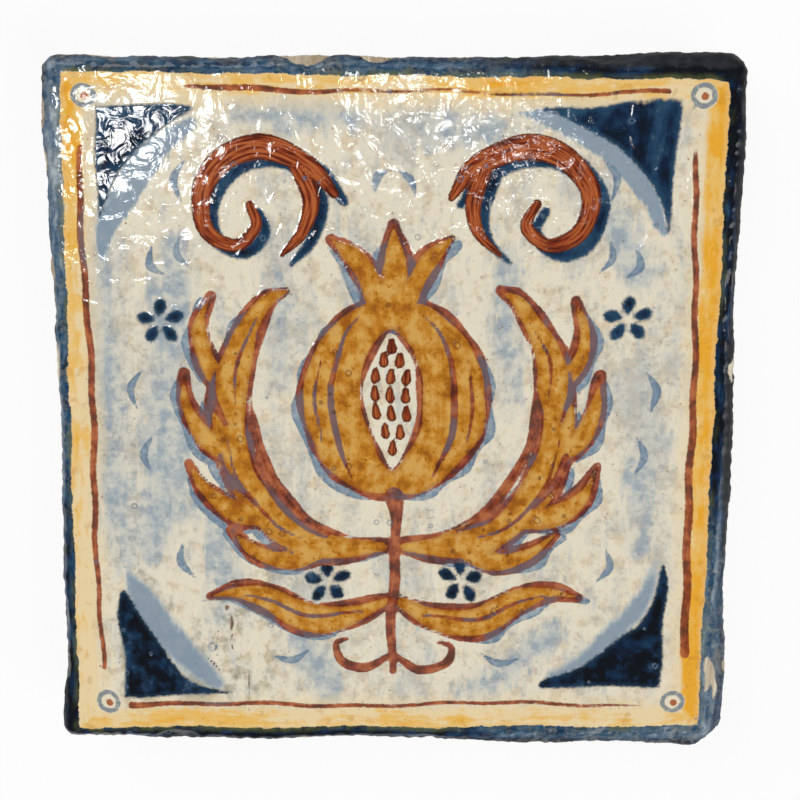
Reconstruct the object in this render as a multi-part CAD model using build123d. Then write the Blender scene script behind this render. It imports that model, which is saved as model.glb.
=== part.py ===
"""A tumbled travertine tile with a glazed and painted face, lying on its sawn back.

Millimetres. +Z is up, through the glazed face, and +Y is towards the top of the picture. The origin is
on the back, in the middle of the tile's footprint. The tile is one piece of stone and its glaze is fused
on, so it is one solid.
"""
from build123d import *
import math
import os

# The slab, between the mean lines of its worn edges
tile_width = 99.6
tile_length = 102.2
tile_thickness = 10.0

# The rounded edge round the face, thick with glaze, and the lighter wear round the back
face_arris_radius = 1.9
back_arris_radius = 0.8

# The four corners, seen from the face. The right lower one has been knocked and is the bluntest.
right_lower_corner_radius = 5.0
right_upper_corner_radius = 3.2
left_upper_corner_radius = 2.6
left_lower_corner_radius = 2.3

# How far the worn edge stands outside its mean line, at even steps from one corner to the next, going
# round the tile anticlockwise as seen from the face
front_wear = (0.0, -0.1, 0.3, 0.2, 0.3, -0.3, -0.4, -0.3, 0.1, 0.3, 0.0, -0.2, 0.4)
right_wear = (0.1, 0.4, -0.2, -0.4, 0.0, 0.1, 0.1, -0.1, -0.6, -0.2, 0.2, 0.4, 0.2)
rear_wear = (0.5, 0.6, 0.2, 0.0, -0.3, -0.3, -0.2, 0.3, 0.1, -0.2, 0.0, -0.1, 0.4)
left_wear = (0.3, 0.7, 0.2, 0.2, -0.3, -0.1, -0.6, -0.4, -0.2, 0.0, -0.2, 0.1, 1.1)

# The sawn back has wear of its own: a share of the face's, some steps further round, and drawn in
back_wear_share = 0.6
back_wear_shift_count = 2
back_draw_in = 0.25

# Flakes struck off the face's edge, shell-shaped and glazed over: (side, place along it from -1 to 1,
# half length, depth, angle of the blow above the horizontal)
edge_flakes = (
    ("front", -0.66, 3.2, 0.45, 50.0),
    ("front", 0.12, 2.2, 0.30, 35.0),
    ("front", 0.60, 2.8, 0.40, 55.0),
    ("right", -0.52, 2.4, 0.35, 45.0),
    ("right", 0.12, 1.3, 0.45, 20.0),
    ("right", 0.34, 3.0, 0.40, 50.0),
    ("rear", -0.62, 3.6, 0.45, 40.0),
    ("rear", 0.24, 2.6, 0.35, 55.0),
    ("left", -0.18, 2.6, 0.40, 40.0),
    ("left", 0.62, 2.0, 0.30, 30.0),
)
# The lower right corner's own flake: half length, depth and angle of the blow
corner_flake_half_length = 3.4
corner_flake_depth = 0.6
corner_flake_angle = 40.0

# The stone's natural voids lie in rows along its bedding, which stands on edge in this slab. Each row on
# the back: x from -1 to 1, then for each void its y from -1 to 1, half length, half width and depth
bedding_angle = 86.0
back_void_rows = (
    (-0.88, ((0.10, 1.6, 0.5, 0.7), (-0.52, 2.4, 0.7, 1.0))),
    (-0.74, ((0.50, 3.2, 1.0, 1.4), (0.34, 1.2, 0.6, 0.7), (-0.20, 1.8, 0.7, 0.9), (-0.78, 1.3, 0.5, 0.6))),
    (-0.56, ((0.18, 1.1, 0.5, 0.5), (-0.40, 1.5, 0.6, 0.8))),
    (-0.42, ((0.76, 2.2, 0.8, 1.0), (0.62, 1.0, 0.5, 0.6), (-0.46, 1.2, 0.6, 0.8), (-0.64, 4.0, 1.1, 1.7))),
    (-0.20, ((0.30, 1.4, 0.6, 0.7), (-0.22, 1.0, 0.5, 0.5), (-0.84, 1.6, 0.7, 0.9))),
    (0.04, ((0.88, 1.2, 0.5, 0.6), (-0.62, 1.7, 0.6, 0.8))),
    (0.18, ((0.58, 3.8, 1.2, 1.6), (0.42, 1.1, 0.5, 0.7), (-0.36, 2.6, 0.9, 1.2), (-0.50, 0.9, 0.4, 0.5))),
    (0.38, ((0.10, 1.6, 0.7, 0.8), (-0.06, 0.9, 0.5, 0.5), (-0.88, 1.3, 0.5, 0.7))),
    (0.56, ((0.80, 1.9, 0.6, 0.9), (0.36, 1.1, 0.5, 0.6), (-0.66, 3.0, 0.9, 1.2))),
    (0.78, ((0.28, 3.4, 1.0, 1.5), (0.10, 1.3, 0.5, 0.7), (-0.34, 1.5, 0.6, 0.8), (-0.80, 1.0, 0.5, 0.5))),
)
# The few that the glaze left open on the face, in one row left of the middle
face_void_row = (-0.445, ((-0.496, 0.7, 0.40, 0.45), (-0.561, 0.4, 0.3, 0.3), (-0.628, 1.0, 0.25, 0.35)))
# Those that the edges cut through: (side, place along it from -1 to 1, height as a share of the slab, half
# length, half width, depth). They stand upright in the front and rear, where the bedding is cut across.
edge_voids = (
    ("front", -0.44, 0.40, 1.8, 0.6, 0.9),
    ("front", -0.24, 0.34, 1.1, 0.5, 0.6),
    ("front", 0.40, 0.42, 2.0, 0.7, 1.1),
    ("front", 0.78, 0.38, 1.0, 0.4, 0.6),
    ("right", -0.26, 0.40, 2.2, 0.7, 0.8),
    ("right", 0.56, 0.34, 1.4, 0.5, 0.6),
    ("rear", -0.12, 0.42, 1.7, 0.6, 0.9),
    ("rear", 0.55, 0.36, 1.3, 0.5, 0.7),
    ("rear", 0.66, 0.46, 1.0, 0.4, 0.5),
    ("left", 0.30, 0.38, 1.8, 0.6, 0.7),
    ("left", -0.50, 0.42, 1.3, 0.5, 0.6),
)
# A void's broken shape: its corners, how unevenly they lie, and how much smaller its floor is
void_corners = 9
void_unevenness = 0.22
void_floor_share = 0.45
# How far a void's cut reaches outside the mean face that it opens in
void_reach = 1.5

# How many flats make up the quarter round of an arris
arris_steps = 5
# The tightest that a corner gets where an arris is as large as the corner itself
least_corner_radius = 0.2

half_width = tile_width / 2
half_length = tile_length / 2
face_arris = min(face_arris_radius, tile_thickness / 2)
back_arris = min(back_arris_radius, tile_thickness / 4)

# Each side's outward direction, and the half size of the slab across it and along it
sides = {
    "front": (Vector(0, -1), half_length, half_width),
    "right": (Vector(1, 0), half_width, half_length),
    "rear": (Vector(0, 1), half_length, half_width),
    "left": (Vector(-1, 0), half_width, half_length),
}
side_names = tuple(sides)
wears = {"front": front_wear, "right": right_wear, "rear": rear_wear, "left": left_wear}
# The corner that ends each side
corner_radii = (
    right_lower_corner_radius,
    right_upper_corner_radius,
    left_upper_corner_radius,
    left_lower_corner_radius,
)


def stand_out(wear, step, share):
    """How far a side stands out at one step: the back's own wear at share 0, the face's at share 1."""
    at_face = wear[step]
    at_back = wear[(step + back_wear_shift_count) % len(wear)] * back_wear_share - back_draw_in
    return at_back + (at_face - at_back) * share


def corner_arc(turn, inset, share):
    """The quarter circle from one side to the next. Turn 0 goes from the front to the right."""
    before, after = side_names[turn], side_names[(turn + 1) % 4]
    outward, across, _ = sides[before]
    onward, beyond, _ = sides[after]
    bend = max(corner_radii[turn], inset + least_corner_radius)
    middle = outward * (across + stand_out(wears[before], -1, share) - bend)
    middle += onward * (beyond + stand_out(wears[after], 0, share) - bend)
    reach = bend - inset
    return ThreePointArc(
        middle + outward * reach,
        middle + (outward + onward).normalized() * reach,
        middle + onward * reach,
    )


def side_edge(turn, inset, share, start, end):
    """One worn side, from the corner behind it to the corner ahead, leaving and meeting both smoothly."""
    outward, across, _ = sides[side_names[turn]]
    forward = outward.rotate(Axis.Z, 90)
    wear = wears[side_names[turn]]
    last = len(wear) - 1
    points = [start]
    for step in range(1, last):
        place = start.dot(forward) + (end - start).dot(forward) * step / last
        points.append(forward * place + outward * (across + stand_out(wear, step, share) - inset))
    points.append(end)
    return Spline(points, tangents=(forward, forward))


def outline(inset, height):
    """The worn outline at one height, drawn in by the inset, as a flat face."""
    share = height / tile_thickness
    arcs = [corner_arc(turn, inset, share) for turn in range(4)]
    edges = []
    for turn in range(4):
        edges += [side_edge(turn, inset, share, arcs[turn - 1] @ 1, arcs[turn] @ 0), arcs[turn]]
    return Pos(0, 0, height) * make_face(Wire(edges))


def arris_levels(radius):
    """The inset and the rise of each outline round an arris, from the sawn face to the wall."""
    turns = [math.radians(90 * step / arris_steps) for step in range(arris_steps + 1)]
    return [(radius * (1 - math.sin(turn)), radius * (1 - math.cos(turn))) for turn in turns]


def worn_slab():
    """The slab with its worn sides and rounded arrises, skinned through its outlines."""
    back = arris_levels(back_arris)
    face = [(inset, tile_thickness - rise) for inset, rise in reversed(arris_levels(face_arris))]
    return loft([outline(inset, height) for inset, height in back + face], ruled=True)


def flake(side, place, half_length_of_flake, depth, angle):
    """The stone that one blow strikes off the face's arris: a ball that dips in by the depth."""
    outward, across, along = sides[side]
    forward = outward.rotate(Axis.Z, 90)
    blow = outward * math.cos(math.radians(angle)) + Vector(0, 0, math.sin(math.radians(angle)))
    ball_radius = (half_length_of_flake**2 + depth**2) / (2 * depth)
    heart = forward * place * along + outward * (across - face_arris)
    heart += Vector(0, 0, tile_thickness - face_arris)
    return Pos(heart + blow * (face_arris + ball_radius - depth)) * Sphere(ball_radius)


def corner_flake():
    """The stone struck off the lower right corner."""
    outward = Vector(1, -1).normalized()
    radius = right_lower_corner_radius
    angle = math.radians(corner_flake_angle)
    blow = outward * math.cos(angle) + Vector(0, 0, math.sin(angle))
    ball_radius = (corner_flake_half_length**2 + corner_flake_depth**2) / (2 * corner_flake_depth)
    heart = Vector(half_width - radius, radius - half_length, tile_thickness - face_arris)
    heart += outward * max(radius - face_arris, 0)
    return Pos(heart + blow * (face_arris + ball_radius - corner_flake_depth)) * Sphere(ball_radius)


def void_outline(half_long, half_wide, height):
    """A void's broken outline, long in X, at one height of its own."""
    corners = []
    for corner in range(void_corners):
        turn = 2 * math.pi * corner / void_corners
        reach = 1 - void_unevenness * (0.5 + 0.5 * math.sin(half_long * 40 + corner**2))
        corners.append((half_long * reach * math.cos(turn), half_wide * reach * math.sin(turn)))
    return Pos(0, 0, height) * make_face(Polyline(corners, close=True))


def void(mouth, half_long, half_wide, depth):
    """The hole that a void leaves, from its broken floor out through its mouth, a plane."""
    floor = void_outline(half_long * void_floor_share, half_wide * void_floor_share, -depth)
    sections = [floor, void_outline(half_long, half_wide, 0), void_outline(half_long, half_wide, void_reach)]
    return mouth * loft(sections, ruled=True)


def void_row(x_share, voids, height, facing):
    """A row of voids along the bedding, in a sawn face at a height, that faces up (1) or down (-1)."""
    lean = math.radians(bedding_angle)
    along = Vector(math.cos(lean), math.sin(lean))
    row = []
    for y_share, half_long, half_wide, depth in voids:
        y = y_share * half_length
        origin = (x_share * half_width + y / math.tan(lean), y, height)
        mouth = Plane(origin=origin, x_dir=along, z_dir=(0, 0, facing))
        row.append(void(mouth, half_long, half_wide, depth))
    return row


def edge_void(side, place, height_share, half_long, half_wide, depth):
    """A void that one side cuts through: upright where the side crosses the bedding, else along it."""
    outward, across, along = sides[side]
    forward = outward.rotate(Axis.Z, 90)
    origin = forward * place * along + outward * across + Vector(0, 0, height_share * tile_thickness)
    long_way = Vector(0, 0, 1) if outward.X == 0 else forward
    return void(Plane(origin=origin, x_dir=long_way, z_dir=outward), half_long, half_wide, depth)


def tile():
    """The whole tile, with its flakes and voids taken out and its footprint centred on the origin."""
    removed = [flake(*values) for values in edge_flakes] + [corner_flake()]
    for x_share, voids in back_void_rows:
        removed += void_row(x_share, voids, 0, -1)
    removed += void_row(*face_void_row, tile_thickness, 1)
    removed += [edge_void(*values) for values in edge_voids]
    stone = worn_slab() - removed
    footprint = stone.bounding_box().center()
    return Pos(-footprint.X, -footprint.Y, 0) * stone


os.makedirs("parts", exist_ok=True)
export_step(tile(), "parts/travertine_tile.step")
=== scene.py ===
"""A tumbled travertine tile with a glazed and painted face, lying on its sawn back.

The tile's own mesh is fitted to the frame's stone, then given its glaze, its worn edge and its painting.
Places on the face are in millimetres from the middle of the painted border, with +Y towards the top.
"""
import math
from functools import partialmethod

import bpy
import numpy as np
from bpy.props import FloatProperty, FloatVectorProperty, IntProperty, PointerProperty
from mathutils import Matrix, Vector, kdtree, noise


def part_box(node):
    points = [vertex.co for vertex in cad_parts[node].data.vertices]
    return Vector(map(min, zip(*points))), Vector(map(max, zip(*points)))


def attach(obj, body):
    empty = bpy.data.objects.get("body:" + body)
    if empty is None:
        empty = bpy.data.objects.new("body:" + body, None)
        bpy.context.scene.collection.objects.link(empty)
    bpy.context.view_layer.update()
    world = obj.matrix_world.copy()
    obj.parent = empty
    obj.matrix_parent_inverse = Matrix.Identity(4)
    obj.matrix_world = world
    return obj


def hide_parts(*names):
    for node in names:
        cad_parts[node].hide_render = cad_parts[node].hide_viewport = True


bl_info = {
    "name": "Painted Travertine Tile",
    "version": (1, 0, 0),
    "blender": (4, 5, 0),
    "location": "View3D > Sidebar > Tile",
    "description": "Models and paints a tumbled travertine tile with a glazed face",
    "category": "Add Mesh",
}

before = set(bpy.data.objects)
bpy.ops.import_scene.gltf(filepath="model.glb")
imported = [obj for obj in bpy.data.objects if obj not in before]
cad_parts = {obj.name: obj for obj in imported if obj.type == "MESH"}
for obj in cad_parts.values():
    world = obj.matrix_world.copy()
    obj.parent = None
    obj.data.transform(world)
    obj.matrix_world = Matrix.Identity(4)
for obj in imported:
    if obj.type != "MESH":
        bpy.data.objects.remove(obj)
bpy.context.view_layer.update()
tile_low, tile_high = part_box("travertine_tile")
tile_size = tile_high - tile_low
tile_middle = (tile_low + tile_high) / 2

MM = 0.001
NODE = "travertine_tile"
# The painting's middle on the face: the worn edges put it a little off the middle of the footprint
PAINTING_SHIFT = (0.39, 0.27)
# Past this distance from a painted edge, in millimetres, nothing of it shows
PAINT_REACH = 3.0
# More than half the width of any stroke, in millimetres
BRUSH_REACH = 2.5
# Two points of a curve that are nearer than this, in millimetres, are one
SAME_PLACE = 1e-6
# How far the streaks of two strokes lie apart, so that they differ
STREAK_STEP = 17.0
# Points of a curve from one given point to the next
CURVE_STEPS = 10


def linear(red, green, blue):
    """A colour as the eye names it, 0 to 255, as the light values that shaders take."""
    shares = (value / 255 for value in (red, green, blue))
    return tuple(s / 12.92 if s <= 0.04045 else ((s + 0.055) / 1.055) ** 2.4 for s in shares)


def colour(name, description, *values):
    """A colour that the user can set."""
    return FloatVectorProperty(
        name=name, description=description, subtype="COLOR", size=3, min=0, max=1, default=linear(*values)
    )


def count(name, description, number):
    """A number of mesh cells that the user can set."""
    return IntProperty(name=name, description=description, default=number, min=8)


def length(name, description, millimetres):
    """A length that the user can set."""
    return FloatProperty(name=name, description=description, default=millimetres * MM, unit="LENGTH", min=0)


class TileShape(bpy.types.PropertyGroup):
    """How finely the tile is meshed, and how deep its relief is."""

    face_cells: count("Face cells", "Mesh cells along each side of the face", 240)
    back_cells: count("Back cells", "Mesh cells along each side of the back", 96)
    face_arris: length("Face arris", "Radius of the worn edge round the face", 1.9)
    back_arris: length("Back arris", "Radius of the worn edge round the back", 0.8)
    corner: length("Corner", "Rough radius of the corners, before the fit to the stone", 3.2)
    glaze_swell: length("Glaze swell", "Depth of the slow waves in the glaze", 0.10)
    glaze_ripple: length("Glaze ripple", "Depth of the short ripples in the glaze", 0.035)
    rim_wear: length("Rim wear", "Depth of the ragged wear round the rim", 0.45)
    stone_grain: length("Stone grain", "Depth of the grain in bare stone", 0.12)
    glaze_run: length("Glaze run", "How far the glaze runs down the sides", 2.9)


class PaintColours(bpy.types.PropertyGroup):
    """The ceramic colours of the painting, and the stone's own."""

    cream: colour("Cream", "Ground glaze", 248, 238, 214)
    sand: colour("Sand", "Warm clouding of the ground", 228, 206, 170)
    # Haze is also the palest end of the rim's tone, where its painted sheen lies
    haze: colour("Haze", "Blue-grey clouding of the ground", 182, 194, 200)
    ash: colour("Ash", "Grey flecks in the ground", 146, 150, 146)
    pale: colour("Pale yellow", "Border band where it is thin", 252, 227, 178)
    yellow: colour("Yellow", "Border band", 252, 202, 106)
    amber: colour("Amber", "Border band where it has pooled", 252, 179, 26)
    honey: colour("Honey", "Fruit and leaves where they are thin", 224, 174, 92)
    ochre: colour("Ochre", "Fruit and leaves", 206, 136, 38)
    umber: colour("Umber", "Fruit and leaves where they have pooled", 158, 88, 20)
    rust: colour("Rust", "Scrolls and lines where they are thin", 192, 104, 54)
    russet: colour("Russet", "Scrolls, outlines and border lines", 146, 56, 22)
    bark: colour("Bark", "Russet where it is thick", 70, 24, 14)
    mauve: colour("Mauve", "Outlines where blue-grey lies over russet", 112, 100, 108)
    slate: colour("Slate", "Blue-grey strokes", 132, 154, 174)
    steel: colour("Steel", "Blue-grey strokes where they have pooled", 94, 118, 142)
    teal: colour("Teal", "Navy where it is thin", 42, 80, 108)
    navy: colour("Navy", "Corner fields and shadows", 16, 44, 76)
    # Soot is also the darkest end of the rim's tone, where its painted shade lies, and darkens the pits
    soot: colour("Soot", "Navy where it is thickest", 6, 12, 22)
    moss: colour("Moss", "Where navy runs into yellow", 104, 110, 70)
    stone: colour("Stone", "Bare travertine", 206, 190, 164)
    vein: colour("Vein", "Darker beds of the travertine", 158, 132, 102)


def position(name, description, *metres):
    """A place that the user can set."""
    return FloatVectorProperty(
        name=name, description=description, subtype="TRANSLATION", unit="LENGTH", default=metres
    )


def amount(name, description, default):
    """A number that the user can set."""
    return FloatProperty(name=name, description=description, default=default, min=0)


class StageSetup(bpy.types.PropertyGroup):
    """The camera and the lamps."""

    camera_place: position("Camera", "Where the camera stands", 0.00836, 0.04079, 0.22493)
    camera_aim: position("Aim", "The point of the face that the camera looks at", 0.00145, 0.00187, 0.010)
    lens: amount("Lens", "Focal length on a 36 mm sensor", 67.5)
    sky: amount("Sky", "Strength of the light from all round", 0.14)
    key: amount("Key", "Power of the soft lamp at the far left", 21.5)
    fill: amount("Fill", "Power of the soft lamp at the near right", 22.5)
    glint: amount("Glints", "Radiance of the small lamps", 30.0)


# The painting's points: x, y and the half width of the brush


def mirrored(strokes):
    """The same strokes on the other side of the middle line, after the first ones."""
    return strokes + [[(-x, y, width) for x, y, width in stroke] for stroke in strokes]


def both_sides(half):
    """A closed outline from its right half, which runs up the right side from middle line to middle line."""
    return half + [(-x, y) for x, y in half[-2:0:-1]]


def spoke(x, y, degrees, radius):
    """The point at an angle and a distance from another one."""
    angle = math.radians(degrees)
    return x + radius * math.cos(angle), y + radius * math.sin(angle)


def circle_stroke(x, y, radius, width, start=0):
    """A round brush stroke about a point, from one angle on, in degrees."""
    return [(*spoke(x, y, start + 30 * step, radius), width) for step in range(13)]


def dot(x, y, width):
    """A dab of the brush."""
    return [(x, y, width), (x + 0.1, y - 0.1, width)]


def petals(x, y, count, reach, width):
    """Short dabs that point outwards from a flower's heart, the first one upwards."""
    dab = ((0.35, 0.35), (0.75, 1.0), (1.0, 0.6))
    turns = [90 + 360 * step / count for step in range(count)]
    return [[(*spoke(x, y, turn, far * reach), wide * width) for far, wide in dab] for turn in turns]


# The border's corner rings, each with the angle at which its brush was lifted
RINGS = ((-44, 45.2, 215), (43.5, 44.9, 230), (41.9, -44.1, 235), (-43.5, -45.1, 262))
RING_RADIUS = 1.45
# How far from a ring's middle its brush's tail ends, and the half widths of the bare disc under the ring and
# of the dab in it
RING_TAIL = 2.6
RING_DISC = 1.75
RING_DAB = 0.5
# The width of the line round the fruit and the leaves
OUTLINE_WIDTH = 0.8

BORDER_LINES = [
    [(-44.4, 37.6, 0.35), (-44.6, 29.1, 0.48), (-44.4, 10.3, 0.52), (-44.2, -10, 0.46),
     (-44, -40, 0.36)],
    [(43, 38, 0.1), (43.1, 33, 0.42), (43.4, 0, 0.5), (43.7, -22.2, 0.62), (43.3, -36.4, 0.7)],
    [(-29, 46.2, 0.2), (-21.5, 46.2, 0.42), (1, 45.6, 0.22), (23.5, 45.4, 0.24), (38.9, 45.5, 0.36)],
    [(-40, -45.5, 0.55), (-34.4, -45.5, 0.4), (-23.2, -45.6, 0.34), (25.2, -44.8, 0.28),
     (37.6, -44.9, 0.14)],
]
# The navy fields in the corners, whose long sides curve in about the middle
CORNER_FIELDS = (
    ((-42.4, 43), (-41.6, 43.6), (-35, 43.6), (-28.2, 43.4), (-31.6, 41.2), (-35.4, 38.4), (-38.6, 35.2),
     (-40.6, 31.8), (-41.9, 28.2), (-42.3, 35)),
    ((20.7, 43.5), (29.1, 43.7), (34.6, 44.3), (40.1, 44.6), (40.6, 44), (40.4, 37.5), (39.7, 31.9),
     (39.5, 26), (38.2, 30.1), (36.7, 32.6), (34.3, 35.4), (31.3, 38), (27.6, 40.2), (23.5, 42.3)),
    ((39.9, -23), (40.7, -26.4), (40.1, -32), (39.9, -40.4), (39.2, -41.8), (31.1, -41.8),
     (25.8, -42.3), (22.5, -42.7), (22.6, -41.4), (27.3, -39.4), (30.7, -37), (34.1, -34.1),
     (36.5, -32.3), (38.3, -28.6)),
    ((-40.3, -27.8), (-41.2, -31.4), (-40.7, -38), (-40.7, -43.4), (-40.2, -44.2), (-33, -44.2),
     (-24.2, -43.7), (-28.6, -42.6), (-31.2, -41.2), (-33.4, -38.4), (-35.3, -35.2), (-37.4, -31.8)),
)
# The blue-grey bands along them
CORNER_BANDS = [
    [(-28.6, 41.2, 0.7), (-32.6, 38.6, 1.6), (-36.2, 35, 1.9), (-39, 30.8, 1.9), (-41, 26.4, 1.4),
     (-41.8, 22.6, 0.6)],
    [(17.6, 42.8, 0.3), (21.2, 42.2, 1.3), (25.3, 40.7, 1.7), (29.4, 38.2, 1.7), (33.2, 34.9, 1.7),
     (36, 31.4, 1.6), (37.9, 27.9, 1.1), (38.6, 26.4, 0.5)],
    [(38.9, -22.6, 0.6), (37.6, -27, 1.1), (35.4, -30.9, 1.4), (32.1, -34.6, 1.3), (28.6, -37.8, 1.2),
     (24.2, -40.8, 0.8)],
    [(-39.4, -25.4, 0.6), (-37.2, -29.4, 2.1), (-34.7, -33.2, 2.3), (-32, -36.6, 2.2), (-29.2, -39.6, 2.1),
     (-26.4, -42.2, 1.2)],
]
# How dark the rim is, 0 to 1, partly its glaze's own tone and partly painted light: paler with a painted
# sheen on the upper part of the left side, darkest with painted shade at the top right; and how much amber
# the yellow band holds, 0 to 1; at even steps along each side, from the bottom up or from the left to the
# right
RIM_TONES_AND_LIGHT = {
    "left": (0.98, 0.84, 0.76, 0.7, 0.58, 0.56, 0.5, 0.28, 0.18, 0.46),
    "right": (0.36, 0.42, 0.46, 0.66, 0.88, 0.9, 0.88, 0.9, 0.96, 1),
    "top": (0.52, 0.64, 0.66, 0.56, 0.48, 0.56, 0.66, 0.84, 0.98, 1.05),
    "bottom": (0.98, 0.88, 0.88, 0.92, 0.9, 0.82, 0.62, 0.54, 0.48, 0.42),
}
AMBER_SHARES = {
    "left": (0.1, 0.06, 0.14, 0.16, 0.34, 0.3, 0.38, 0.52, 0.72, 0.66),
    "right": (0.62, 0.84, 0.7, 0.58, 0.62, 0.8, 0.66, 0.6, 0.72, 0.5),
    "top": (0.5, 0.26, 0.22, 0.54, 0.24, 0.36, 0.7, 0.3, 0.34, 0.4),
    "bottom": (0.22, 0.4, 0.5, 0.4, 0.3, 0.28, 0.24, 0.22, 0.2, 0.5),
}
# Soft blue-grey drifts in the ground
DRIFTS = [
    [(-41.8, 27.7, 1.5), (-42, 11, 2.2), (-40.9, -6.6, 2.1), (-39.9, -22.6, 1.7)],
    [(-31.8, 24, 1.4), (-33.2, 3.6, 3), (-34, -11, 3.2), (-36, -21.6, 1.6)],
    [(-17, 25, 0.8), (-16.4, 14, 1.7), (-17, 4, 0.8)],
    [(2, 41.8, 1.2), (8, 41, 2.6), (15, 40, 1.4)],
    [(27, 31, 1.4), (31, 28, 2.2), (35.6, 20, 1.4)],
    [(36.4, 6, 1.2), (37.2, -8, 2.2), (36.8, -20, 1.2)],
    [(-14, -34.3, 1.2), (-11, -40, 2.4), (-9, -43.4, 1)],
    [(24, -34, 1.2), (17, -39.6, 2.2), (11, -43.2, 1)],
    [(-26.6, -18, 1), (-25.2, -24, 1.9), (-25.8, -31, 1.2)],
    [(16.6, 22, 0.6), (16.2, 12, 1.5), (16.8, 2, 0.8)],
    [(-22, 42.6, 0.8), (-12, 43, 1.6), (-5, 42, 0.8)],
]
# Where no glaze took on the rim
SCARS = [
    [(46.7, -37.4, 0.3), (47.1, -39.2, 0.8), (47.3, -40.8, 0.6), (46.8, -42.6, 0.2)],
    [(47.8, -40.2, 0.2), (48.2, -42.6, 0.35), (48, -44, 0.1)],
    [(48.9, 4.8, 0.2), (48.7, 6.4, 0.5), (49.2, 7.6, 0.2)],
]

FRUIT = both_sides([
    (0, -12.6), (4.6, -12.2), (9.4, -9.2), (12.8, -3.6), (13.6, 3), (11.6, 9.2), (7.6, 13.6),
    (3.6, 15.8), (0, 16.2),
])
CROWN = [
    [(0, 15, 2.6), (0, 19, 2), (0.2, 23, 1.7), (0, 27.4, 0.2)],
    *mirrored([[(1.4, 15.2, 2), (3.2, 19, 1.6), (5.2, 22.2, 1.5), (8.6, 25, 0.2)]]),
]
LEAVES = mirrored([
    # the great leaf's rib, then its lobes from the foot upwards
    [(1.6, -20.6, 0.9), (8, -20.8, 2), (15.6, -17.4, 3), (21.2, -10, 3.3), (23.6, -0.6, 3),
     (22.6, 8.6, 2.2), (18.8, 15.4, 1.2), (15.4, 17.6, 0.2)],
    [(10, -21, 1.4), (15.4, -22.4, 1.6), (20.4, -21.4, 1.2), (24, -18.2, 0.2)],
    [(17.6, -16.6, 1.4), (23.2, -15.6, 1.7), (27.6, -12.4, 1.2), (30, -8, 0.2)],
    [(22, -7.6, 1.4), (27, -4.4, 1.6), (29.8, 0.4, 1.1), (30.2, 5.2, 0.2)],
    [(23.4, 2.4, 1.3), (27, 7.2, 1.4), (28, 12, 1), (26.6, 16.6, 0.2)],
    # the long leaf at the stem's foot
    [(0.8, -29, 0.7), (6.4, -31.6, 1.8), (12.6, -31.8, 2.5), (18.6, -28.8, 2.1), (23.6, -27.4, 1.1),
     (27.6, -28.2, 0.2)],
])
# How far the blue-grey shading stands out from the fruit and leaves: outwards, and up
SHADE_SHIFT = (1.1, -0.7)
# Slits of bare ground between the rib and the lobes
LEAF_SLITS = mirrored([
    [(9.6, -18.6, 0.1), (14.8, -15.4, 0.5), (19, -9.4, 0.6), (20.9, -1.6, 0.5), (20.4, 5.6, 0.1)],
    [(20.6, -14.4, 0.1), (23.8, -10.4, 0.34), (25.2, -6.8, 0.1)],
    [(24.4, -1.8, 0.1), (26, 2.2, 0.3), (25.8, 5.8, 0.1)],
])
LEAF_VEINS = mirrored([
    [(12.6, -19.2, 0.1), (17.6, -17, 0.3), (22.4, -11, 0.26), (24.2, -4, 0.1)],
    [(22.8, 1, 0.1), (22.8, 7.4, 0.3), (19.8, 13.6, 0.1)],
    [(14.6, -21.4, 0.1), (18.6, -20.8, 0.26), (21.8, -19.4, 0.1)],
    [(4.2, -31, 0.2), (12.4, -31.4, 0.36), (18.4, -29, 0.3), (23.4, -27.8, 0.1)],
])
STEM = [
    [(0, -12.6, 1.5), (0.2, -17, 0.8), (0, -24, 0.8), (-0.2, -33, 0.7), (0.2, -39.6, 0.5)],
    *mirrored([
        [(0.2, -37, 0.4), (4, -39.4, 0.7), (7.6, -38.6, 0.7), (8.4, -36, 0.5), (6.6, -35.2, 0.3)],
    ]),
]
SEED_GAP = both_sides([(0, -8.6), (2.4, -5.6), (4.2, -1), (4.4, 3.6), (3, 8.2), (0, 11.8)])
# Rows of seeds in the fruit: height, and how many
SEED_ROWS = ((-5.2, 1), (-2.8, 2), (-0.2, 3), (2.4, 3), (5, 3), (7.4, 2), (9.4, 1))
SEED_PITCH = 2.3
FRUIT_RIBS = mirrored([
    [(6.2, -10, 0.2), (8.6, -4, 0.5), (9, 3.4, 0.5), (7, 10.4, 0.3), (4.4, 13.8, 0.1)],
    [(10.8, -5, 0.1), (11.6, 1.6, 0.3), (10.6, 7.6, 0.1)],
])
# The scrolls over the fruit, broad and russet, with a dark shadow to their right and below
SCROLLS = mirrored([
    [(8.4, 31, 0.6), (12, 35.4, 1.4), (17.8, 38, 1.9), (23.8, 36.6, 1.8), (27.6, 31.8, 1.5),
     (26.8, 26.2, 1.2), (22.6, 23.8, 1), (19.4, 26.4, 0.9), (20.4, 29.6, 0.7)],
    [(13.2, 35, 1.2), (11.6, 30.2, 1.2), (12.6, 25.8, 0.9), (15.8, 22.4, 0.3)],
])
SCROLL_SHADOW_SHIFT = (1.3, -1.1)
FLOWERS = ((-33.4, 12.6), (33.8, 13.4), (-9.6, -26), (9.9, -25.6))
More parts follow.
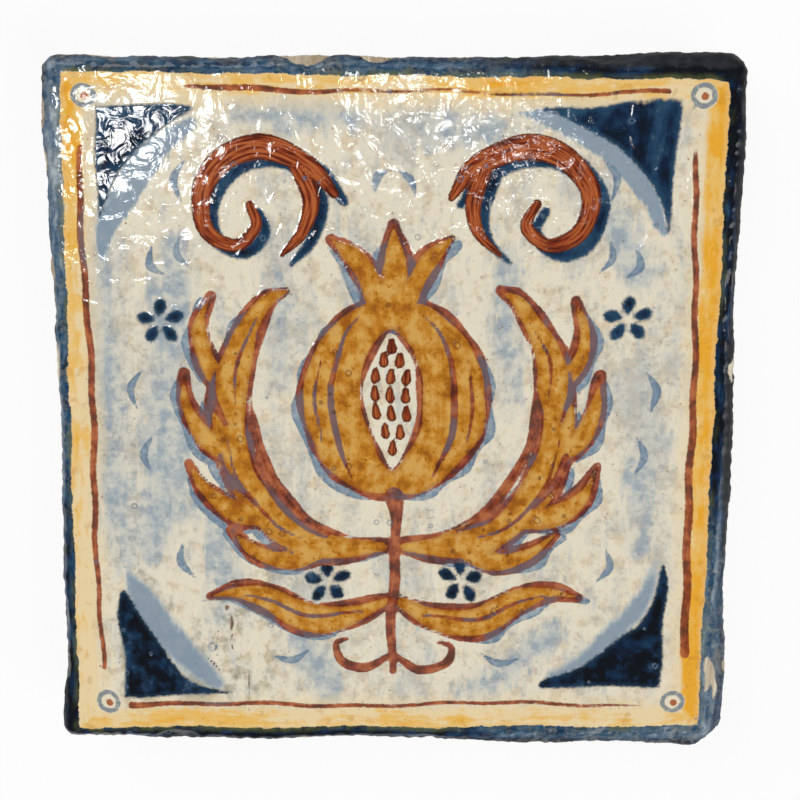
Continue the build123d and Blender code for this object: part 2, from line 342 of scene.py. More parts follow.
# A flower's petals: how many, their reach and their half width
PETALS = (5, 3.0, 0.95)
COMMAS = mirrored([
    [(3, 31.4, 0.1), (2.4, 33.6, 0.6), (0.6, 34.8, 0.1)],
    [(33, 19.6, 0.1), (35, 21.2, 0.6), (34.6, 24, 0.1)],
    [(29.4, 20.6, 0.1), (31.2, 22.6, 0.5), (30.8, 25.2, 0.1)],
    [(36.6, 5.6, 0.1), (38.4, 3, 0.6), (37.6, 0, 0.1)],
    [(35.6, -3.6, 0.1), (37, -6.4, 0.6), (35.8, -9.2, 0.1)],
    [(31.4, -20.6, 0.1), (31.8, -23.6, 0.6), (29.8, -25.8, 0.1)],
    [(12.8, -36.8, 0.1), (15.6, -38.6, 0.6), (18.8, -38, 0.1)],
    [(30.6, 30.2, 0.1), (31.6, 33.4, 0.6), (29.6, 36.2, 0.1)],
])
# Voids of the stone that broke the glaze, with their brown rims, and the thin smudges below them; they are
# painted dark, partly as the shade inside the voids
PITS = [
    [(-25.3, -29.5, 0.14), (-25, -29.8, 0.22), (-25.2, -30.1, 0.12)],
    [(-24.4, -31.2, 0.05), (-24.3, -32.4, 0.2), (-24.6, -33.7, 0.05)],
    [(-24.4, -34.2, 0.04), (-24.7, -35.3, 0.12), (-24.4, -36.6, 0.04)],
    [(-28, -37.8, 0.04), (-27.2, -38.8, 0.1), (-26.2, -39.9, 0.04)],
    [(-21.9, -38, 0.04), (-21.8, -44, 0.05), (-22, -48.6, 0.04)],
]
# A large burst bubble: x, y and radius
BUBBLE = (-27.3, -36.1, 0.55)
# Where the glaze left the rim bare: x, y and reach
BARE_SPOTS = (
    (-50, 43, 3), (-50, 36.4, 2.2), (-50, 20.8, 3), (-50.2, 12.6, 0.9), (-50.2, 6.8, 4),
    (-12, 51, 4.6), (-2, 51.4, 3.2), (-13, -51.6, 2), (49.6, 6.8, 1.4), (50.2, -38.4, 1.6),
)


def smooth_curve(points, closed=False):
    """Close points on the smooth curve through the given ones."""
    table = np.array(points, float)
    if closed:
        table = np.vstack([table[-1], table, table[:2]])
    else:
        table = np.vstack([2 * table[0] - table[1], table, 2 * table[-1] - table[-2]])
    t = np.linspace(0, 1, CURVE_STEPS, endpoint=False)[:, None]
    spans = [
        0.5 * (2 * b + (c - a) * t + (2 * a - 5 * b + 4 * c - d) * t**2 + (3 * b - a - 3 * c + d) * t**3)
        for a, b, c, d in zip(table, table[1:], table[2:], table[3:])
    ]
    return np.vstack(spans + [table[-2:-1]])


class PaintLayer:
    """One colour's brushwork: how far each place is from its edge, negative inside, and the place along
    and across the stroke that it belongs to, for the streaks of the brush."""

    def __init__(self, places, strokes=()):
        self.places = places
        self.distance = np.full(len(places), PAINT_REACH)
        self.along = np.zeros(len(places))
        self.across = np.zeros(len(places))
        self.painted = 0.0
        self.strokes(strokes)

    def follow(self, curve, near, inside=None):
        """Brings in the strip along a curve, or the shape that it closes."""
        spots = self.places[near]
        best = np.full(len(spots), np.inf)
        along = np.zeros(len(spots))
        across = np.zeros(len(spots))
        run_start = 0.0
        for a, b in zip(curve, curve[1:]):
            run = b[:2] - a[:2]
            reach = math.hypot(*run)
            if reach < SAME_PLACE:
                continue
            offset = spots - a[:2]
            share = np.clip(offset @ run / reach**2, 0, 1)
            gap = offset - share[:, None] * run
            distance = np.hypot(gap[:, 0], gap[:, 1]) - (a[2] + share * (b[2] - a[2]))
            side = (offset[:, 1] * run[0] - offset[:, 0] * run[1]) / reach
            closer = distance < best
            best[closer] = distance[closer]
            along[closer] = (run_start + share * reach)[closer]
            across[closer] = side[closer]
            run_start += reach
        if inside is not None:
            best = np.where(inside, -best, best)
            along, across = spots[:, 1], spots[:, 0]
        closer = best < self.distance[near]
        chosen = near[closer]
        self.distance[chosen] = best[closer]
        self.along[chosen] = along[closer] + self.painted
        self.across[chosen] = across[closer]
        self.painted += STREAK_STEP

    def near(self, curve):
        """The places that a curve can reach."""
        low = curve[:, :2].min(0) - PAINT_REACH - BRUSH_REACH
        high = curve[:, :2].max(0) + PAINT_REACH + BRUSH_REACH
        return np.nonzero(np.all((self.places > low) & (self.places < high), axis=1))[0]

    def strokes(self, many, shift=(0, 0)):
        """Brush strokes, each through its points with their half widths, all moved by the shift."""
        for points in many:
            curve = smooth_curve([(x + shift[0], y + shift[1], width) for x, y, width in points])
            self.follow(curve, self.near(curve))

    def shape(self, points):
        """A filled shape with a smooth outline."""
        curve = smooth_curve([(x, y, 0.0) for x, y in points], closed=True)
        near = self.near(curve)
        x, y = self.places[near].T
        inside = np.zeros(len(near), bool)
        for a, b in zip(curve, curve[1:]):
            crosses = (a[1] > y) != (b[1] > y)
            rise = b[1] - a[1] if b[1] != a[1] else 1.0
            inside ^= crosses & (x < (b[0] - a[0]) * (y - a[1]) / rise + a[0])
        self.follow(curve, near, inside)

    def outline(self, other, width):
        """A line along another layer's edge, as thick as the width, swelling where the brush was pressed."""
        x, y = self.places.T
        pressed = 1 + 0.35 * np.sin(0.42 * x + 0.31 * y) + 0.25 * np.sin(0.9 * y - 0.5 * x)
        distance = np.abs(other.distance - 0.15) - width / 2 * pressed
        closer = distance < self.distance
        self.distance[closer] = distance[closer]
        self.along[closer] = (other.along * 0.5)[closer]
        self.across[closer] = other.distance[closer]

    def clear(self, other):
        """Leaves bare what lies inside another layer's shapes."""
        self.distance = np.maximum(self.distance, -other.distance)


def wobbled(places):
    """The places as an unsteady hand sees them, so that mirrored strokes differ a little."""
    x, y = places.T
    return np.stack([
        x + 0.28 * np.sin(0.21 * x + 0.13 * y + 1.0) + 0.14 * np.sin(0.55 * y + 0.3),
        y + 0.26 * np.sin(0.17 * x - 0.19 * y) + 0.14 * np.sin(0.47 * x + 1.1),
    ], axis=1)


def border_lines(places):
    """How far each place lies inside the yellow band's outer edge, whose four sides were ruled by hand, with
    its place along that side, the rim's tone there, which holds painted light as well as the glaze's own
    tone, and the band's share of amber."""
    x, y = places.T
    insets = {
        "left": x + 47.45 - 0.009 * y + 0.12 * np.sin(0.35 * y),
        "right": 46.5 + 0.013 * y - x + 0.12 * np.sin(0.3 * y + 2),
        "top": 47.8 - 0.014 * x - y + 0.12 * np.sin(0.33 * x + 1),
        "bottom": y + 48.75 - 0.016 * x + 0.15 * np.sin(0.24 * x),
    }
    inset = np.minimum.reduce(list(insets.values()))
    along, tone, amber = np.zeros_like(x), np.zeros_like(x), np.zeros_like(x)
    for number, (side, own) in enumerate(insets.items()):
        run = y if side in ("left", "right") else x
        on_side = own == inset
        steps = np.linspace(-50, 50, len(RIM_TONES_AND_LIGHT[side]))
        along[on_side] = (run + 200 * number)[on_side]
        # The rim's tone, partly the glaze's own and partly painted sheen and shade
        tone[on_side] = np.interp(run, steps, RIM_TONES_AND_LIGHT[side])[on_side]
        amber[on_side] = np.interp(run, steps, AMBER_SHARES[side])[on_side]
    return inset, along, tone, amber


def paint_fruit_and_leaves(places):
    """The ochre parts: the fruit, its crown and the leaves, with bare seeds and slits."""
    ochre = PaintLayer(places)
    ochre.shape(FRUIT)
    ochre.strokes(CROWN)
    ochre.strokes(LEAVES)
    slits = PaintLayer(places, LEAF_SLITS)
    slits.shape(SEED_GAP)
    ochre.clear(slits)
    return ochre


def vertex_places(mesh):
    """The places of a mesh's vertices, one in each row, in metres."""
    points = np.empty(len(mesh.vertices) * 3)
    mesh.vertices.foreach_get("co", points)
    return points.reshape(-1, 3)


def lay_paint(mesh):
    """Works out every layer of the painting at the mesh's vertices."""
    flat = vertex_places(mesh)[:, :2] / MM - PAINTING_SHIFT
    places = wobbled(flat)
    ochre = paint_fruit_and_leaves(places)

    russet = PaintLayer(places, SCROLLS)
    for height, number in SEED_ROWS:
        for step in range(number):
            side = (step - (number - 1) / 2) * SEED_PITCH
            russet.strokes([[(side, height + 0.7, 0.45), (side * 0.98, height - 0.5, 0.75)]])

    line = PaintLayer(places)
    line.outline(ochre, OUTLINE_WIDTH)
    line.strokes(LEAF_VEINS + FRUIT_RIBS + STEM + BORDER_LINES)
    line.strokes(dot(x + 0.1, y - 0.1, RING_DAB) for x, y, _ in RINGS)

    # The painter's shading falls outwards and down from the fruit and the leaves
    outwards = np.clip(places[:, 0] / 3, -1, 1)
    shifted = places - np.stack([outwards * SHADE_SHIFT[0], np.full(len(places), SHADE_SHIFT[1])], axis=1)
    behind = paint_fruit_and_leaves(shifted)
    wash = PaintLayer(places)
    wash.distance = behind.distance + 0.4 * np.sin(0.5 * places[:, 0] + 0.8 * places[:, 1])
    wash.along, wash.across = behind.along, behind.across
    wash.strokes(COMMAS + [circle_stroke(*BUBBLE, 0.14)])
    for x, y, lifted in RINGS:
        tail = [(*spoke(x, y, lifted, RING_RADIUS), 0.32), (*spoke(x, y, lifted, RING_TAIL), 0.06)]
        wash.strokes([circle_stroke(x, y, RING_RADIUS, 0.34, lifted), tail])

    navy = PaintLayer(places)
    navy.strokes(SCROLLS, SCROLL_SHADOW_SHIFT)
    for x, y in FLOWERS:
        navy.strokes(petals(x, y, *PETALS))
    for corners in CORNER_FIELDS:
        navy.shape(corners)

    ring = PaintLayer(places, (dot(x, y, RING_DISC) for x, y, _ in RINGS))
    drift = PaintLayer(places, DRIFTS)
    fading = PaintLayer(places, CORNER_BANDS)
    pit_and_shade = PaintLayer(places, PITS)
    scar = PaintLayer(places, SCARS)

    brushed = {"ochre": ochre, "russet": russet, "line": line, "wash": wash, "navy": navy}
    for name, layer in brushed.items():
        store(mesh, name, np.minimum(layer.distance, PAINT_REACH), layer.along, layer.across)
    store(mesh, "marks", drift.distance, pit_and_shade.distance, scar.distance)
    inset, along, tone, amber = border_lines(flat)
    store(mesh, "border", inset, along, tone)
    store(mesh, "band", amber, ring.distance, fading.distance)


def store(mesh, name, *columns):
    """Keeps three values for each vertex on the mesh, as one vector."""
    attribute = mesh.attributes.new(name, "FLOAT_VECTOR", "POINT")
    attribute.data.foreach_set("vector", np.stack(columns, axis=1).astype(np.float32).ravel())


# Modelling

# Rings of mesh over the face's arris, down the wall and round the back's arris
FACE_RINGS, WALL_RINGS, BACK_RINGS = 7, 11, 3
# The heights between which the stone's vertices belong to a void of the back, and how far from one of them
# the mesh is made finer, in millimetres
VOID_HEIGHTS = (0.3, 2.2)
VOID_REACH = 1.1
# Where the rim's wear begins, from the middle, and how far out it is full, in millimetres
RIM_START = (47.0, 48.2)
RIM_WIDTH = 2.2


def select_only(obj):
    """Leaves one object selected and active."""
    bpy.ops.object.select_all(action="DESELECT")
    obj.select_set(True)
    bpy.context.view_layer.objects.active = obj


def apply_modifier(obj, kind, settings):
    """Adds a modifier with its settings and applies it."""
    select_only(obj)
    modifier = obj.modifiers.new(kind.title(), kind)
    for name, value in settings.items():
        setattr(modifier, name, value)
    bpy.ops.object.modifier_apply(modifier=modifier.name)


def rim_profile(shape, thickness):
    """The rings that go over the face's arris, down the wall and round the back's: inset and depth."""
    face, back = shape.face_arris, shape.back_arris
    turns = [math.radians(90 * step / FACE_RINGS) for step in range(1, FACE_RINGS + 1)]
    rings = [(face * (1 - math.sin(t)), face * (1 - math.cos(t))) for t in turns]
    wall = thickness - face - back
    rings += [(0.0, face + wall * step / WALL_RINGS) for step in range(1, WALL_RINGS + 1)]
    turns = [math.radians(90 * step / BACK_RINGS) for step in range(1, BACK_RINGS + 1)]
    low = thickness - back
    rings += [(back * (1 - math.cos(t)), low + back * math.sin(t)) for t in turns]
    return rings


def sheet(cells_along, margin, height):
    """A flat grid over the footprint less a margin, open for editing."""
    bpy.ops.object.select_all(action="DESELECT")
    bpy.ops.mesh.primitive_grid_add(
        x_subdivisions=cells_along, y_subdivisions=cells_along, size=1,
        location=(tile_middle.x, tile_middle.y, height),
    )
    grid = bpy.context.object
    grid.scale = (tile_size.x - 2 * margin, tile_size.y - 2 * margin, 1)
    bpy.ops.object.transform_apply(location=True, rotation=True, scale=True)
    bpy.ops.object.mode_set(mode="EDIT")
    bpy.ops.mesh.select_all(action="SELECT")
    return grid


def raw_tile(shape):
    """A tile of plain mesh: a fine grid for the face, pulled over the rim, bridged to a back."""
    tile = sheet(shape.face_cells, shape.face_arris, tile_high.z)
    tile.name = tile.data.name = "glazed_tile"
    bpy.ops.mesh.region_to_loop()
    before, depth = shape.face_arris, 0.0
    for inset, ring_depth in rim_profile(shape, tile_size.z):
        bpy.ops.mesh.extrude_edges_move(TRANSFORM_OT_translate={"value": (0, 0, depth - ring_depth)})
        bpy.ops.transform.resize(
            value=((tile_size.x - 2 * inset) / (tile_size.x - 2 * before),
                   (tile_size.y - 2 * inset) / (tile_size.y - 2 * before), 1),
            center_override=(tile_middle.x, tile_middle.y, tile_high.z - ring_depth),
        )
        before, depth = inset, ring_depth
    bpy.ops.object.mode_set(mode="OBJECT")
    rim = [edge.index for edge in tile.data.edges if edge.select]

    sheet(shape.back_cells, 2 * shape.back_arris, tile_low.z)
    bpy.ops.mesh.flip_normals()
    bpy.ops.mesh.region_to_loop()
    bpy.ops.object.mode_set(mode="OBJECT")
    for edge in rim:
        tile.data.edges[edge].select = True
    tile.select_set(True)
    bpy.context.view_layer.objects.active = tile
    bpy.ops.object.join()
    bpy.ops.object.mode_set(mode="EDIT")
    bpy.ops.mesh.bridge_edge_loops()
    bpy.ops.mesh.select_all(action="SELECT")
    bpy.ops.mesh.normals_make_consistent(inside=False)
    bpy.ops.object.mode_set(mode="OBJECT")
    return tile


def refine_back(tile):
    """Splits the back's cells where the stone has a void, so that the void keeps its edge."""
    low, high = (height * MM for height in VOID_HEIGHTS)
    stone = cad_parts[NODE].data
    deep = [v.co for v in stone.vertices if low < v.co.z < high and inner(v.co, 3 * MM)]
    tree = kdtree.KDTree(len(deep))
    for number, place in enumerate(deep):
        tree.insert((place.x, place.y, 0), number)
    tree.balance()
    select_only(tile)
    bpy.ops.object.mode_set(mode="EDIT")
    bpy.ops.mesh.select_all(action="DESELECT")
    bpy.ops.object.mode_set(mode="OBJECT")
    for face in tile.data.polygons:
        centre = face.center
        if face.normal.z < -0.9 and inner(centre, 2 * MM):
            face.select = tree.find((centre.x, centre.y, 0))[2] < VOID_REACH * MM
    bpy.ops.object.mode_set(mode="EDIT")
    bpy.ops.mesh.subdivide(number_cuts=2)
    bpy.ops.object.mode_set(mode="OBJECT")


def inner(place, margin):
    """Whether a place lies inside the tile's footprint by a margin."""
    return (
        tile_low.x + margin < place.x < tile_high.x - margin
        and tile_low.y + margin < place.y < tile_high.y - margin
    )


def round_corners(tile, radius):
    """Draws the corners in, so that the plain tile nearly fits the stone."""
    half = tile_size / 2
    for vertex in tile.data.vertices:
        x, y = vertex.co.x - tile_middle.x, vertex.co.y - tile_middle.y
        level = max(abs(x) / half.x, abs(y) / half.y)
        past_x, past_y = abs(x) - (half.x * level - radius), abs(y) - (half.y * level - radius)
        if past_x > 0 and past_y > 0:
            reach = math.hypot(past_x, past_y)
            drawn = max(past_x, past_y) / reach
            # Nearly all of it at the edge, and next to nothing further in
            share = level**12
            vertex.co.x = tile_middle.x + math.copysign(abs(x) - past_x * (1 - drawn) * share, x)
            vertex.co.y = tile_middle.y + math.copysign(abs(y) - past_y * (1 - drawn) * share, y)


# The line where the glaze stops: how long and how high its waves are, in millimetres
WANDER_LENGTH = 9
WANDER_HEIGHT = 1.9
# The depth below the face to which a bare spot reaches, in millimetres, and where its pull ends, as a
# multiple of its reach
BARE_DEPTH = 0.30
SPOT_END = 2.5


def glaze_heights(points, run):
    """How far each vertex is above the line where the glaze stops, in millimetres."""
    heights = []
    for x, y, z in points:
        wander = noise.fractal(Vector((x / WANDER_LENGTH, y / WANDER_LENGTH, 0.5)), 1.0, 2.0, 3)
        line = tile_high.z / MM - run - WANDER_HEIGHT * wander
        for spot_x, spot_y, reach in BARE_SPOTS:
            apart = math.hypot(x - spot_x, y - spot_y) / reach
            if apart < SPOT_END:
                line += (tile_high.z / MM - BARE_DEPTH - line) * math.exp(-(apart**4))
        heights.append(z - line)
    return np.array(heights)


def wear_in(tile, shape):
    """Gives the fitted tile the relief of its glaze, its ragged rim and its bare stone."""
    mesh = tile.data
    points = vertex_places(mesh) / MM
    glazed = glaze_heights(points, shape.glaze_run / MM)
    line = mesh.attributes.new("glaze", "FLOAT", "POINT")
    line.data.foreach_set("value", glazed.astype(np.float32))

    top, low = tile_high.z / MM, tile_low.z / MM
    rim = np.clip((np.abs(points[:, :2]) - RIM_START).max(axis=1) / RIM_WIDTH, 0, 1)
    # The rim's wear fades over the last millimetre above the floor, the bare stone's grain over half a
    # millimetre at the glaze's line, and the glaze's waves over a millimetre below the face
    rim *= np.clip(points[:, 2] - low, 0, 1)
    bare = np.clip(0.5 - glazed / 0.5, 0, 1)
    face = np.clip(points[:, 2] - top + 1.2, 0, 1) * (1 - 0.6 * rim)
    for name, shares in {"rim": rim, "bare": bare, "glazed": face}.items():
        group = tile.vertex_groups.new(name=name)
        for number in np.nonzero(shares > 0.01)[0]:
            group.add([int(number)], float(shares[number]), "REPLACE")

    # Group, size of the lumps, depth, detail, and how much of the relief goes inwards
    reliefs = (
        ("rim", 3.4, shape.rim_wear, 2, 0.56),
        ("rim", 1.1, shape.rim_wear * 0.7, 1, 0.60),
        ("rim", 0.6, shape.rim_wear * 0.5, 1, 0.64),
        ("glazed", 5.5, shape.glaze_swell, 1, 1.0),
        ("glazed", 1.5, shape.glaze_ripple, 1, 1.0),
        ("bare", 0.8, shape.stone_grain, 3, 1.0),
    )
    for group, size, depth, octaves, inwards in reliefs:
        texture = bpy.data.textures.new(group, "CLOUDS")
        texture.noise_scale = size * MM
        texture.noise_depth = octaves
        apply_modifier(tile, "DISPLACE", {
            "texture": texture, "texture_coords": "LOCAL", "vertex_group": group,
            "strength": depth, "mid_level": inwards,
        })
        bpy.data.textures.remove(texture)
    tile.vertex_groups.clear()
    keep_in_box(mesh)


def keep_in_box(mesh):
    """Draws back what stands outside the stone's own box."""
    points = vertex_places(mesh).clip(np.array(tile_low), np.array(tile_high))
    mesh.vertices.foreach_set("co", points.ravel())
    mesh.update()


# Shading


class Value:
    """A node's output that arithmetic works on, each operation adding its Math node."""

    def __init__(self, graph, socket):
        self.graph = graph
        self.socket = socket

    def math(self, operation, *others):
        return self.graph.node("Math", {"operation": operation}, dict(enumerate((self, *others))))

    def __rsub__(self, other):
        return self.graph.node("Math", {"operation": "SUBTRACT"}, {0: other, 1: self})

    __add__ = __radd__ = partialmethod(math, "ADD")
    __sub__ = partialmethod(math, "SUBTRACT")
    __mul__ = __rmul__ = partialmethod(math, "MULTIPLY")
    least = partialmethod(math, "MINIMUM")
    most = partialmethod(math, "MAXIMUM")
    size = partialmethod(math, "ABSOLUTE")

    def between(self, low, high):
        """0 up to low, 1 from high, and smooth in between. Low may be the larger."""
        if low > high:
            return 1 - self.between(high, low)
        limits = {"Value": self, "From Min": low, "From Max": high}
        return self.graph.node("MapRange", {"interpolation_type": "SMOOTHSTEP"}, limits)


class Graph:
    """A material's nodes."""

    def __init__(self, name):
        self.material = bpy.data.materials.new(name)
        self.material.use_nodes = True
        self.tree = self.material.node_tree
        self.tree.nodes.clear()

    def node(self, kind, settings=None, sockets=None, output=0):
        """Adds a node, sets it, fills its sockets with values or links, and gives one output."""
        node = self.tree.nodes.new("ShaderNode" + kind)
        for name, value in (settings or {}).items():
            setattr(node, name, value)
        for key, value in (sockets or {}).items():
            socket = node.inputs[key]
            if isinstance(value, Value):
                self.tree.links.new(value.socket, socket)
            elif isinstance(value, (int, float)):
                socket.default_value = value
            else:
                whole = len(socket.default_value)
                socket.default_value = (*value, 1.0)[:whole]
        return Value(self, node.outputs[output]) if node.outputs else None

    def ramp(self, value, stops):
        """The colour that a value has on a row of stops."""
        tone = self.node("ValToRGB", None, {0: value})
        elements = tone.socket.node.color_ramp.elements
        while len(elements) < len(stops):
            elements.new(0.5)
        for element, (place, stop) in zip(elements, stops):
            element.position = place
            element.color = (*stop, 1.0)
        return tone

    def blend(self, first, second, share):
        """One colour over another, by a share."""
        return self.node("Mix", {"data_type": "RGBA"}, {0: share, 6: first, 7: second}, 2)

    def parts(self, vector):
        """A vector's three numbers."""
        node = self.node("SeparateXYZ", None, {0: vector}).socket.node
        return [Value(self, output) for output in node.outputs]

    def clouds(self, vector, size, detail=3.0, roughness=0.55, distortion=0.0):
        """Noise from 0 to 1 whose lumps are about as large as the size."""
        look = {"Detail": detail, "Roughness": roughness, "Distortion": distortion}
        return self.node("TexNoise", None, {"Vector": vector, "Scale": 1 / size, **look})

    def cells(self, vector, scale, output):
        """Scattered round cells: the distance from the next one's middle, or its own chance colour."""
        places = {"Vector": vector, "Scale": scale, "Randomness": 1.0}
        return self.node("TexVoronoi", {"feature": "F1"}, places, output)

    def stored(self, name, output="Fac"):
        """The number that the mesh holds under a name."""
        return self.node("Attribute", {"attribute_name": name}, None, output)

    def layer(self, name):
        """The three numbers that the mesh holds under a name."""
        return self.parts(self.stored(name, "Vector"))


def glazed_travertine(colours):
    """The painted glaze, and the bare stone below and behind it."""
    graph = Graph("glazed_travertine")
    place = graph.node("TexCoord", None, None, "Object")
    place = graph.node("VectorMath", {"operation": "SCALE"}, {0: place, "Scale": 1 / MM})
    sideways, up, _ = graph.parts(place)

    def grain(stretch, *look):
        """Noise whose lumps are drawn out, because each axis of the place is multiplied."""
        drawn = graph.node("VectorMath", {"operation": "MULTIPLY"}, {0: place, 1: stretch})
        return graph.clouds(drawn, *look)

    broad = grain((1.0, 0.6, 1.0), 8.0, 5.0, 0.65, 0.5)
    coarse = graph.clouds(place, 2.4, 4.0, 0.6)
    mottle = graph.clouds(place, 0.75, 3.0, 0.62)
    fine = graph.clouds(place, 0.3, 2.0)
    low_down = up.between(-14.0, -26.0)
    shaky = (mottle - 0.5) * 0.75 + (fine - 0.5) * 0.35

    def streaks(along, across, fineness):
        """The marks of the brush's hairs along a stroke."""
        drawn = graph.node("CombineXYZ", None, {0: along * 0.22, 1: across * fineness, 2: 0.0})
        return graph.clouds(drawn, 1.0, 3.0, 0.6)

    def brushed(name, fineness):
        """How far a layer's edge is, and the marks of the brush in it."""
        gap, along, across = graph.layer(name)
        return gap, streaks(along, across, fineness)

    def inside(distance, soft=0.08, unsteady=0.5):
        """Where a layer's paint lies."""
        return (distance + shaky * unsteady).between(soft, -soft)

    def coats(tone, *over):
        """A tone under its coats, the lowest first, each with its share. Tones go by name or come mixed."""
        tone = colours.get(tone, tone)
        for coat, share in over:
            tone = graph.blend(tone, colours.get(coat, coat), share)
        return tone

    ochre_gap, ochre_streak = brushed("ochre", 1.0)
    russet_gap, russet_streak = brushed("russet", 2.6)
    line_gap, line_streak = brushed("line", 1.6)
    wash_gap, wash_streak = brushed("wash", 1.8)
    navy_gap = graph.layer("navy")[0]
    drift_gap, pit_gap, scar_gap = graph.layer("marks")
    inset, rim_along, rim_tone_and_light = graph.layer("border")
    amber_share, ring_gap, fading_gap = graph.layer("band")
    inset = inset + shaky * 0.45 + (coarse - 0.5) * 1.1

    # The ground: cream, clouded with blue-grey in upright drifts and with sand, and flecked with both
    flecks = grain((1.0, 0.8, 1.0), 0.55, 3.0, 0.7, 0.3)
    upright = grain((1.0, 0.3, 1.0), 2.6, 5.0, 0.65, 0.6)
    hairs = grain((1.0, 0.12, 1.0), 0.8, 3.0, 0.6, 0.3)
    clouding = (broad * 0.5 + upright * 0.3 + hairs * 0.1 + mottle * 0.1).between(0.46, 0.60)
    drift = drift_gap + (broad - 0.5) * 8.0 + (upright - 0.5) * 9.0 + (hairs - 0.5) * 4.0 + shaky
    blotches = (coarse * 0.7 + mottle * 0.1 + hairs * 0.2).between(0.38, 0.60)
    drift = drift.between(1.8, -1.4) * (blotches * 0.5 + 0.5)
    warm = (coarse * 0.5 + broad * 0.3 + mottle * 0.2).between(0.47, 0.58)
    even = coarse * 0.5 + mottle * 0.5
    speckled = broad.between(0.44, 0.62) * 0.7 + 0.15
    stained = sideways.between(-12.0, -22.0) * low_down * (broad * 0.6 + coarse * 0.4).between(0.50, 0.60)
    # The blue-grey bands along the corner fields
    fading = fading_gap + (broad - 0.5) * 2.4 + (hairs - 0.5) * 1.6 + shaky
    fading = fading * (1.9 + up.between(0.0, 20.0) * 2.1)
    band_tone = coats("haze", ("slate", fading.between(0.4, -1.6) * (1.1 - mottle * 0.5)))
    specks = graph.cells(place, 0.8, "Distance")
    specks = (specks + shaky * 0.12).between(0.15, 0.07) * even.between(0.46, 0.54)
    ground = coats(
        "cream",
        ("sand", warm * 0.75),
        ("haze", (clouding * 0.6).most(drift * 0.95) * (hairs * 0.5 + mottle * 0.5 + 0.4)),
        ("slate", drift * (coarse + mottle * 0.3).between(0.52, 0.84) * 0.45),
        ("slate", even.between(0.56, 0.69) * speckled * 0.4),
        ("moss", stained * (mottle * 0.4 + 0.12)),
        ("ash", (flecks * 0.6 + mottle * 0.4).between(0.54, 0.66) * speckled * 0.6),
        ("vein", (1 - mottle).between(0.62, 0.76) * 0.3),
        ("pale", inset.between(6.0, 3.2) * (0.4 + coarse.between(0.4, 0.6) * 0.35)),
        (band_tone, fading.between(1.0, -1.1) * 0.92),
        (coats("steel", ("umber", warm)), specks * 0.6),
        ("cream", ring_gap.between(0.25, -0.1) * 0.8),
    )

    # The blue-grey strokes
    wash = coats(
        "slate",
        ("steel", wash_streak.between(0.46, 0.66) * 0.8),
        ("haze", (1 - coarse).between(0.50, 0.66) * 0.6),
        ("steel", wash_gap.between(-0.30, -0.05) * 0.5),
        ("ash", ring_gap.between(0.7, 0.3) * 0.7),
    )

    # Navy fields and shadows, near black where thick, teal where thin, and darker and less teal towards the
    # bottom
    depth = broad * 0.7 + coarse * 0.3
    darker_low_down = low_down * coarse.between(0.66, 0.42)
    navy = coats(
        "navy",
        ("teal", depth.between(0.48, 0.60) * (0.8 - low_down * 0.5)),
        ("steel", (depth + mottle * 0.5).between(0.84, 0.98) * 0.5),
        ("soot", ((1 - depth).between(0.48, 0.58) * 0.8).most(darker_low_down)),
        ("teal", navy_gap.between(-0.9, -0.1) * (0.75 - low_down * 0.4)),
    )

    # The yellow band
    pooled = grain((0.6, 0.6, 1.0), 3.0, 4.0, 0.6) * 1.2
    pooled = pooled + streaks(rim_along, inset, 1.1) * 1.1 + amber_share - 1.05 - inset * 0.09
    yellow = coats(
        "pale",
        ("yellow", pooled.between(0.14, 0.48)),
        ("amber", pooled.between(0.48, 0.80) * 0.95),
        ("umber", (mottle * 0.6 + pooled * 0.4).between(0.66, 0.86) * 0.3),
        ("pale", inset.between(0.75, 0.30) * 0.25),
        ("ochre", specks.most(coarse.between(0.56, 0.66) * 0.6) * 0.55),
    )
    ragged = inset + (hairs - 0.5) * 1.4
    band = inset.between(-0.08, 0.08) * ragged.between(3.3, 2.4) * ring_gap.between(-0.1, 0.15)

    # Ochre, thin and thick, with brown spots
    thick = ochre_streak * 0.15 + coarse * 0.55 + upright * 0.3
    ochre = coats(
        "honey",
        ("ochre", thick.between(0.42, 0.54)),
        ("umber", thick.between(0.51, 0.62) * 0.85),
        ("amber", mottle.between(0.52, 0.64) * 0.35),
        ("umber", (mottle * 0.7 + coarse * 0.3).between(0.55, 0.62) * 0.75),
        ("bark", (mottle * 0.8 + fine * 0.2).between(0.66, 0.74) * 0.6),
        ("russet", ochre_gap.between(-0.9, -0.3) * 0.3),
    )

    # Russet scrolls, streaked along the stroke and dark at the edge
    russet = coats(
        "russet",
        ("rust", russet_streak.between(0.44, 0.60)),
        ("bark", (1 - russet_streak).between(0.52, 0.66) * 0.9),
        ("bark", russet_gap.between(-0.45, -0.10) * 0.75),
    )

    # Outlines and border lines, which turn mauve where they cross the blue-grey
    pressed = coarse + line_streak * 0.5
    over_wash = wash_gap.between(0.4, -0.3) * broad.between(0.42, 0.54)
    line = coats(
        "rust",
        ("russet", pressed.between(0.60, 0.78)),
        ("bark", pressed.between(0.74, 0.90) * 0.8),
        ("mauve", over_wash.most(fading_gap.between(3.2, 1.8)) * 0.85),
        ("rust", ring_gap.between(0.3, 0.0) * 0.8),
    )

    # The rim outside the band: streaked along the edge, with painted shade over the arris and the painted
    # light of its tone, mossy next to the yellow
    rim_dark_and_shade = rim_tone_and_light + (streaks(rim_along, inset, 0.9) - 0.5) * 1.3 + (coarse - 0.5) * 0.7
